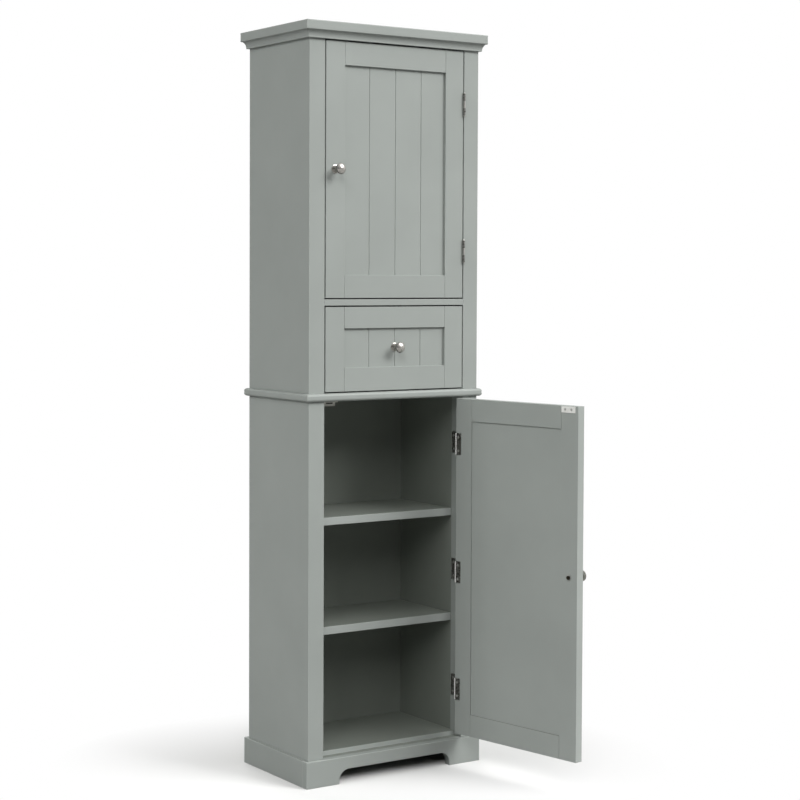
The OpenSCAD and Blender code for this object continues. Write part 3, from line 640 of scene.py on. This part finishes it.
def blackenBolt(piece, nodeName):
    # the bolt is blackened, its washer is not
    middle = np.array(surfaceMiddle(nodeName))
    points = np.array([v.co for v in piece.data.vertices])
    axis = longAxis(points)
    for face in piece.data.polygons:
        corners = points[list(face.vertices)] - middle
        fromAxis = np.linalg.norm(corners - np.outer(corners @ axis, axis), axis=1)
        if fromAxis.max() < boltHead:
            face.material_index = 1


for nodeName in ("upper_door_knob_screw", "lower_door_knob_screw", "drawer_knob_screw"):
    blackenBolt(easedCopy(nodeName, "screw_steel", zincSteel, boltBlack), nodeName)
print("wooden and metal pieces made")

# the turned knobs, in millimetres: distance from the axis, distance from the door
knobProfile = {
    "foot": [(2.0, 0.02), (9.3, 0.02), (9.8, 0.2), (9.98, 0.6), (9.98, 1.1), (9.75, 1.45),
             (9.2, 1.55), (8.7, 1.62), (8.4, 1.85)],
    "neck": [(6.9, 3.3), (5.7, 4.5), (4.9, 5.5), (4.48, 6.8), (4.4, 9.0), (4.4, 14.0),
             (4.42, 17.4), (4.6, 18.5)],
    "head": [(5.6, 19.2), (8.4, 20.75), (11.0, 22.2), (11.9, 22.75), (12.35, 23.3),
             (12.48, 24.0), (12.3, 24.65)],
    "crownRadius": 17.0, "crown": 29.98, "crownRings": 14, "turns": 72,
    "neckShadeBand": (1.7, 20.0), "rimShadeBand": (23.2, 25.8),   # the bands drawn darker: painted shade
}


def knobOutline(settings):
    # the ball-shaped crown closes the outline on the axis
    profile = settings["foot"] + settings["neck"] + settings["head"]
    ball, rings, top = settings["crownRadius"], settings["crownRings"], settings["crown"]
    edge = math.asin(profile[-1][0] / ball)
    for i in range(1, rings):
        angle = edge * (1 - i / rings)
        profile.append((ball * math.sin(angle), top - ball * (1 - math.cos(angle))))
    return profile + [(0.0, top)]


def turnedKnob(nodeName):
    middle = surfaceMiddle(nodeName)
    axis = (middle - surfaceMiddle(nodeName + "_screw")).normalized()
    foot = min((v.co - middle).dot(axis) for v in nodes[nodeName].data.vertices)
    across = axis.cross(Vector((0, 0, 1))).normalized()
    place = Matrix((across, axis.cross(across), axis)).transposed().to_4x4()
    place.translation = middle + axis * foot
    bm = bmesh.new()
    verts = [bm.verts.new((r / 1000, 0, z / 1000)) for r, z in knobOutline(knobProfile)]
    edges = [bm.edges.new(pair) for pair in zip(verts, verts[1:])]
    bmesh.ops.spin(bm, geom=verts + edges, cent=(0, 0, 0), axis=(0, 0, 1),
                   angle=2 * math.pi, steps=knobProfile["turns"], use_merge=True)
    bmesh.ops.remove_doubles(bm, verts=bm.verts, dist=1e-7)
    bmesh.ops.holes_fill(bm, edges=[e for e in bm.edges if e.is_boundary], sides=0)
    bmesh.ops.recalc_face_normals(bm, faces=bm.faces)
    bmesh.ops.transform(bm, matrix=place, verts=bm.verts)
    mesh = bpy.data.meshes.new("turned_" + nodeName)
    bm.to_mesh(mesh)
    bm.free()
    hardenShading(mesh)
    finishPiece("turned_" + nodeName, mesh, bodyOf(nodeName), nodeName,
                [knobNickel, neckPaintedShade, nickelPaintedShade])
    # painted shade: the neck band gets greyer nickel, the rim band the darkened hinge nickel
    for face in mesh.polygons:
        height = 1000 * (face.center - place.translation).dot(axis)
        for index, band in enumerate(("neckShadeBand", "rimShadeBand"), 1):
            if knobProfile[band][0] < height < knobProfile[band][1]:
                face.material_index = index


for nodeName in ("upper_door_knob", "lower_door_knob", "drawer_knob"):
    turnedKnob(nodeName)
print("knobs turned")

# the screws are spread by geometry nodes; these are the tree's inputs, in metres
screwSizes = {"Head Radius": 0.0030, "Head Depth": 0.0018, "Shank Radius": 0.0015,
              "Length": 0.0138, "Recess Width": 0.0009, "Recess Span": 0.0034,
              "Recess Depth": 0.0011}

# and these its fixed values: sides, how far the shank is sunk and its share of the length,
# and the seed for the angle at which the driver leaves each cross
screwForm = {"headSides": 28, "shankSides": 16, "sunk": 0.0015, "share": 0.88,
             "seed": 7, "mostTurn": math.pi / 2}


def screwTree(material):
    tree = bpy.data.node_groups.new("countersunk cross-recess screws", "GeometryNodeTree")
    tree.interface.new_socket("Geometry", in_out="INPUT", socket_type="NodeSocketGeometry")
    for name, value in screwSizes.items():
        socket = tree.interface.new_socket(name, in_out="INPUT", socket_type="NodeSocketFloat")
        socket.default_value = value
    tree.interface.new_socket("Geometry", in_out="OUTPUT", socket_type="NodeSocketGeometry")
    given = addNode(tree, "NodeGroupInput").outputs

    # the head, sunk by its own depth
    head = addNode(tree, "GeometryNodeMeshCone", {"Vertices": screwForm["headSides"]},
                   {"Radius Top": given["Head Radius"], "Radius Bottom": given["Shank Radius"],
                    "Depth": given["Head Depth"]})
    sink = addNode(tree, "ShaderNodeMath", {"operation": "MULTIPLY", 1: -1.0},
                   {0: given["Head Depth"]})
    sinkBy = addNode(tree, "ShaderNodeCombineXYZ", None, {"Z": sink.outputs[0]})
    headLow = addNode(tree, "GeometryNodeTransform", None,
                      {"Geometry": head.outputs["Mesh"], "Translation": sinkBy.outputs[0]})

    # two crossed bars cut the recess
    bar = addNode(tree, "ShaderNodeCombineXYZ", None,
                  {"X": given["Recess Span"], "Y": given["Recess Width"],
                   "Z": given["Recess Depth"]})
    barMesh = addNode(tree, "GeometryNodeMeshCube", None, {"Size": bar.outputs[0]})
    crossed = addNode(tree, "GeometryNodeTransform", {"Rotation": (0, 0, math.pi / 2)},
                      {"Geometry": barMesh.outputs["Mesh"]})
    cut = addNode(tree, "GeometryNodeMeshBoolean", {"operation": "DIFFERENCE"},
                  {"Mesh 1": headLow.outputs["Geometry"]})
    tree.links.new(barMesh.outputs["Mesh"], cut.inputs["Mesh 2"])
    tree.links.new(crossed.outputs["Geometry"], cut.inputs["Mesh 2"])

    # the shank hangs under the head
    shank = addNode(tree, "GeometryNodeMeshCylinder", {"Vertices": screwForm["shankSides"]},
                    {"Radius": given["Shank Radius"], "Depth": given["Length"]})
    half = addNode(tree, "ShaderNodeMath", {"operation": "MULTIPLY", 1: -0.5},
                   {0: given["Length"]})
    lower = addNode(tree, "ShaderNodeMath", {"operation": "SUBTRACT", 1: screwForm["sunk"]},
                    {0: half.outputs[0]})
    lowerBy = addNode(tree, "ShaderNodeCombineXYZ", None, {"Z": lower.outputs[0]})
    shorter = addNode(tree, "GeometryNodeTransform", {"Scale": (1, 1, screwForm["share"])},
                      {"Geometry": shank.outputs["Mesh"], "Translation": lowerBy.outputs[0]})
    screw = addNode(tree, "GeometryNodeJoinGeometry")
    tree.links.new(cut.outputs["Mesh"], screw.inputs["Geometry"])
    tree.links.new(shorter.outputs["Geometry"], screw.inputs["Geometry"])

    # one on each point, along its aim, with its cross at an angle of its own
    aim = addNode(tree, "GeometryNodeInputNamedAttribute",
                  {"data_type": "FLOAT_VECTOR", "Name": "aim"})
    turn = addNode(tree, "FunctionNodeAlignRotationToVector", {"axis": "Z"},
                   {"Vector": aim.outputs["Attribute"]})
    spin = addNode(tree, "FunctionNodeRandomValue",
                   {"data_type": "FLOAT", "Seed": screwForm["seed"]})
    spin.inputs[3].default_value = screwForm["mostTurn"]    # the largest plain number
    spinBy = addNode(tree, "ShaderNodeCombineXYZ", None, {"Z": spin.outputs[1]})
    turned = addNode(tree, "FunctionNodeRotateRotation", {"rotation_space": "LOCAL"},
                     {"Rotation": turn.outputs[0], "Rotate By": spinBy.outputs[0]})
    spread = addNode(tree, "GeometryNodeInstanceOnPoints", None,
                     {"Points": given["Geometry"], "Instance": screw.outputs["Geometry"],
                      "Rotation": turned.outputs[0]})
    real = addNode(tree, "GeometryNodeRealizeInstances", None,
                   {"Geometry": spread.outputs["Instances"]})
    dressed = addNode(tree, "GeometryNodeSetMaterial", {"Material": material},
                      {"Geometry": real.outputs["Geometry"]})
    addNode(tree, "NodeGroupOutput", None, {"Geometry": dressed.outputs["Geometry"]})
    return tree


def screwPlaces(nodeName):
    # head centre and outward axis of each screw of the node
    places = []
    for points in looseParts(nodeName):
        middle = (points.max(axis=0) + points.min(axis=0)) / 2
        axis = longAxis(points)
        along = (points - middle) @ axis
        across = np.linalg.norm(points - middle - np.outer(along, axis), axis=1)
        rim = along[across > across.max() * 0.95].mean()    # the widest points are the head's
        if rim < 0:
            axis, along = -axis, -along
        ends = points[along > along.max() - 1e-5]
        places.append((ends.mean(axis=0), axis))
    return sorted(places, key=lambda p: tuple(np.round(p[0], 4)))


def screwGroup(nodeName, tree):
    places = screwPlaces(nodeName)
    carrier = bpy.data.meshes.new("places_" + nodeName)
    carrier.from_pydata([tuple(point) for point, axis in places], [], [])
    aims = carrier.attributes.new("aim", "FLOAT_VECTOR", "POINT")
    for item, (point, axis) in zip(aims.data, places):
        item.vector = tuple(axis)
    holder = bpy.data.objects.new("places_" + nodeName, carrier)
    bpy.context.scene.collection.objects.link(holder)
    modifier = holder.modifiers.new("screws", "NODES")
    modifier.node_group = tree
    for item in tree.interface.items_tree:
        if item.in_out == "INPUT" and item.name in screwSizes:
            modifier[item.identifier] = screwSizes[item.name]
    graph = bpy.context.evaluated_depsgraph_get()
    mesh = bpy.data.meshes.new_from_object(holder.evaluated_get(graph))
    mesh.name = "screws_" + nodeName
    bpy.data.objects.remove(holder)
    hardenShading(mesh)
    mesh.materials.clear()
    finishPiece("screws_" + nodeName, mesh, bodyOf(nodeName), nodeName,
                [zincSteel])


screws = screwTree(zincSteel)
for nodeName in ("case_screws", "upper_door_screws", "lower_door_screws"):
    screwGroup(nodeName, screws)
print("screws placed")

# each lamp: degrees round the cabinet from its front towards its right side, degrees up,
# and watts. All are equally large and far away, in metres
studio = {
    "aim": (0.0, -0.134, 0.9),
    "floorSize": 30.0, "floorColour": "#E9E9E7", "floorPaler": "#EDEDEC",
    "floorPatches": 0.7,    # soft patches to the metre
    "floorGiven": 0.38,     # share of its colour with which the floor lights the cabinet
    "floorSeen": 0.88,      # and with which the camera sees it
    "floorClear": (0.0, 0.45),      # metres from the plinth over which it clears to white
    "plinthMiddle": (0.0, -0.134, 0.0), "plinthHalf": (0.236, 0.142, 0.0),
    "ambient": 0.018, "backdrop": 1.0,
    # what polished metal sees, from below to above, and how much of that left and right
    "reflected": [(0.0, 0.45), (0.46, 0.36), (0.53, 0.32), (0.66, 0.48), (1.0, 0.90)],
    "reflectedSides": (0.35, 1.7), "sidesFrom": -0.7, "sidesTo": 0.9,
    "lampAway": 40.0, "lampSize": 18.0,
    "lamps": {
        "keySoftbox": {"round": 33, "up": 35, "power": 13100.0},
        "rightSoftbox": {"round": 64, "up": 26, "power": 3000.0},
        "topSoftbox": {"round": 0, "up": 68, "power": 2000.0},
        "fillSoftbox": {"round": -35, "up": 35, "power": 4800.0},
        "highLeftSoftbox": {"round": -60, "up": 48, "power": 2000.0},
        "leftSoftbox": {"round": -92, "up": 30, "power": 6750.0},
        "backSoftbox": {"round": 160, "up": 42, "power": 8000.0},
    },
    "mirroredLamps": ("keySoftbox",),   # the weak ones leave no spot on the metal
}


def hangLamps(settings):
    for name, lampSettings in settings["lamps"].items():
        data = bpy.data.lights.new(name, "AREA")
        data.shape = "SQUARE"
        data.size = settings["lampSize"]
        data.energy = lampSettings["power"]
        lamp = bpy.data.objects.new(name, data)
        lamp.visible_glossy = name in settings["mirroredLamps"]
        turn, rise = math.radians(lampSettings["round"]), math.radians(lampSettings["up"])
        away = Vector((math.sin(turn) * math.cos(rise),
                       -math.cos(turn) * math.cos(rise),
                       math.sin(rise)))
        place = Matrix.Translation(Vector(settings["aim"]) + away * settings["lampAway"])
        lamp.matrix_world = place @ away.to_track_quat("Z", "Y").to_matrix().to_4x4()
        bpy.context.scene.collection.objects.link(lamp)


def makeFloor(settings):
    half = settings["floorSize"] / 2
    corners = [(-half, -half, 0), (half, -half, 0), (half, half, 0), (-half, half, 0)]
    mesh = bpy.data.meshes.new("studioFloor")
    mesh.from_pydata(corners, [], [(0, 1, 2, 3)])
    floor = bpy.data.objects.new("studioFloor", mesh)
    bpy.context.scene.collection.objects.link(floor)
    material, tree = newMaterial("matt white studio floor")
    place = addNode(tree, "ShaderNodeTexCoord").outputs["Object"]
    cloud = addNode(tree, "ShaderNodeTexNoise", {"Scale": settings["floorPatches"], "Detail": 1.0},
                    {"Vector": place})
    tone = addNode(tree, "ShaderNodeValToRGB",
                   {"stops": [(0.3, settings["floorColour"]), (0.7, settings["floorPaler"])]},
                   {"Fac": cloud.outputs["Fac"]})

    # the camera sees the floor more strongly exposed than the cabinet does
    seen = addNode(tree, "ShaderNodeVectorMath",
                   {"operation": "SCALE", "Scale": settings["floorSeen"]},
                   {0: tone.outputs["Color"]})
    given = addNode(tree, "ShaderNodeVectorMath",
                    {"operation": "SCALE", "Scale": settings["floorGiven"]},
                    {0: tone.outputs["Color"]})
    exposed = addNode(tree, "ShaderNodeBsdfDiffuse", {"Roughness": 0.5},
                      {"Color": seen.outputs[0]})
    plain = addNode(tree, "ShaderNodeBsdfDiffuse", {"Roughness": 0.5},
                    {"Color": given.outputs[0]})
    glow = addNode(tree, "ShaderNodeEmission",
                   {"Color": (1, 1, 1, 1), "Strength": settings["backdrop"]})

    # distance from the plinth's outline: the floor clears to white round the contact shadow
    offCentre = addNode(tree, "ShaderNodeVectorMath",
                        {"operation": "SUBTRACT", 1: settings["plinthMiddle"]}, {0: place})
    folded = addNode(tree, "ShaderNodeVectorMath", {"operation": "ABSOLUTE"},
                     {0: offCentre.outputs[0]})
    beyond = addNode(tree, "ShaderNodeVectorMath",
                     {"operation": "SUBTRACT", 1: settings["plinthHalf"]},
                     {0: folded.outputs[0]})
    outside = addNode(tree, "ShaderNodeVectorMath",
                      {"operation": "MAXIMUM", 1: (0.0, 0.0, 0.0)}, {0: beyond.outputs[0]})
    reach = addNode(tree, "ShaderNodeVectorMath", {"operation": "LENGTH"},
                    {0: outside.outputs[0]})
    near, far = settings["floorClear"]
    fade = addNode(tree, "ShaderNodeMapRange", {"From Min": near, "From Max": far},
                   {"Value": reach.outputs["Value"]})
    faded = addNode(tree, "ShaderNodeMixShader", None,
                    {0: fade.outputs["Result"], 1: exposed.outputs[0], 2: glow.outputs[0]})
    path = addNode(tree, "ShaderNodeLightPath").outputs
    shown = addNode(tree, "ShaderNodeMixShader", None,
                    {0: path["Is Camera Ray"], 1: plain.outputs[0], 2: faded.outputs[0]})
    addNode(tree, "ShaderNodeOutputMaterial", None, {"Surface": shown.outputs[0]})
    mesh.materials.append(material)


def makeWorld(settings):
    world = bpy.data.worlds.new("studioWorld")
    bpy.context.scene.world = world
    world.use_nodes = True
    tree = world.node_tree
    tree.nodes.clear()
    path = addNode(tree, "ShaderNodeLightPath").outputs
    toward = addNode(tree, "ShaderNodeTexCoord").outputs["Generated"]
    parts = addNode(tree, "ShaderNodeSeparateXYZ", None, {"Vector": toward})
    level = addNode(tree, "ShaderNodeMapRange", {"From Min": -1.0, "From Max": 1.0},
                    {"Value": parts.outputs["Z"]})
    walls = addNode(tree, "ShaderNodeValToRGB", {"stops": settings["reflected"]},
                    {"Fac": level.outputs["Result"]})
    left, right = settings["reflectedSides"]
    sides = addNode(tree, "ShaderNodeMapRange",
                    {"From Min": settings["sidesFrom"], "From Max": settings["sidesTo"],
                     "To Min": left, "To Max": right},
                    {"Value": parts.outputs["X"]})
    lighting = addNode(tree, "ShaderNodeBackground",
                       {"Color": (1, 1, 1, 1), "Strength": settings["ambient"]})
    mirrored = addNode(tree, "ShaderNodeBackground", None,
                       {"Color": walls.outputs["Color"], "Strength": sides.outputs["Result"]})
    backdrop = addNode(tree, "ShaderNodeBackground",
                       {"Color": (1, 1, 1, 1), "Strength": settings["backdrop"]})
    glossy = addNode(tree, "ShaderNodeMixShader", None,
                     {0: path["Is Glossy Ray"], 1: lighting.outputs[0], 2: mirrored.outputs[0]})
    seen = addNode(tree, "ShaderNodeMixShader", None,
                   {0: path["Is Camera Ray"], 1: glossy.outputs[0], 2: backdrop.outputs[0]})
    addNode(tree, "ShaderNodeOutputWorld", None, {"Surface": seen.outputs[0]})


makeFloor(studio)
makeWorld(studio)
hangLamps(studio)
bpy.context.scene.view_settings.view_transform = "Standard"
print("studio ready")
